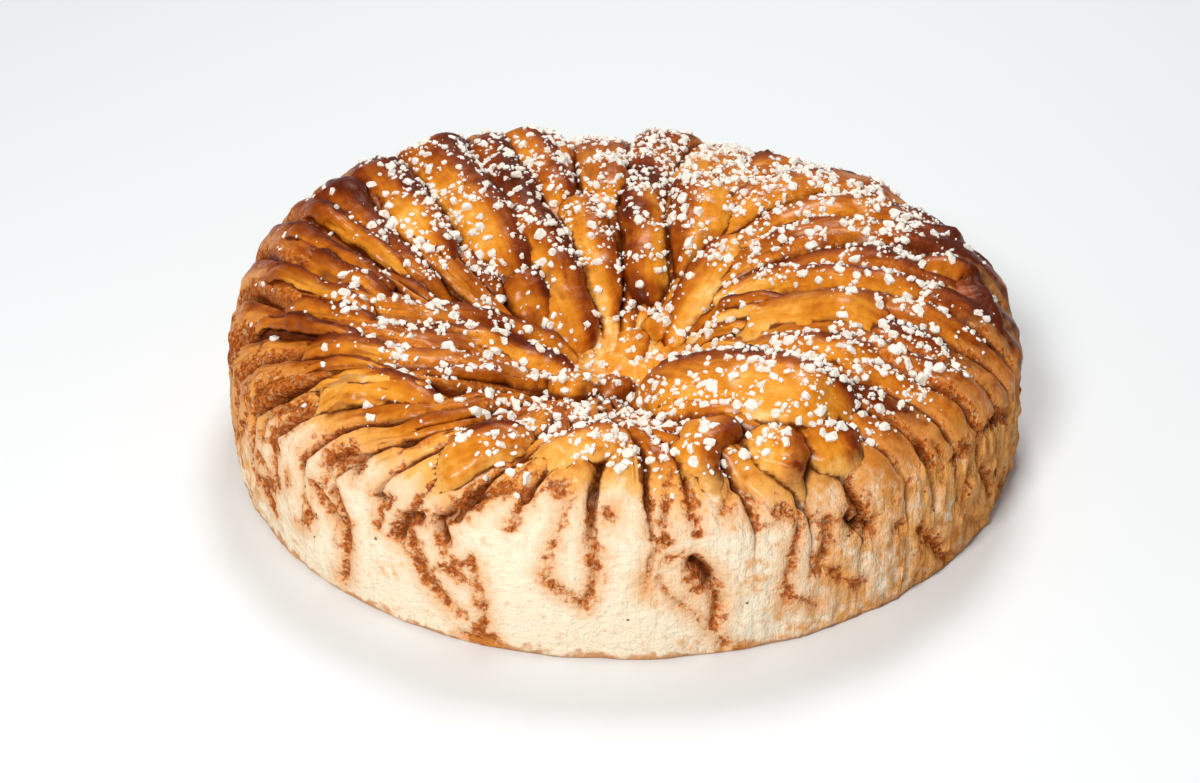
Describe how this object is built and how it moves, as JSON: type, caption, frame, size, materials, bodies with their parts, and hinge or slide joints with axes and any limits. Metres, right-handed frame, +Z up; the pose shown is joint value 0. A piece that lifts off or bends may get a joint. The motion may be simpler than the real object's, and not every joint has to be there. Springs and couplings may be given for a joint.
{
  "type": "cinnamon wreath",
  "caption": "Round festive loaf of folded cinnamon dough: folds run from a deep dimple over the crest and down the side, with pearl sugar on top.",
  "frame": {"origin": "centre of the flat base, on the surface the loaf rests on", "axes": "+Z up, through the loaf's height; the closed hole is displaced from the centre towards -Y, the side that faces the viewer"},
  "size_m": [0.2603, 0.2604, 0.0698],
  "materials": {
    "crust": "egg-washed golden brown crust, dark cinnamon filling in the creases, pale crumb on the side",
    "sugar": "opaque white pearl sugar"
  },
  "bodies": {
    "root": {"wreath": "crust"}
  },
  "joints": []
}
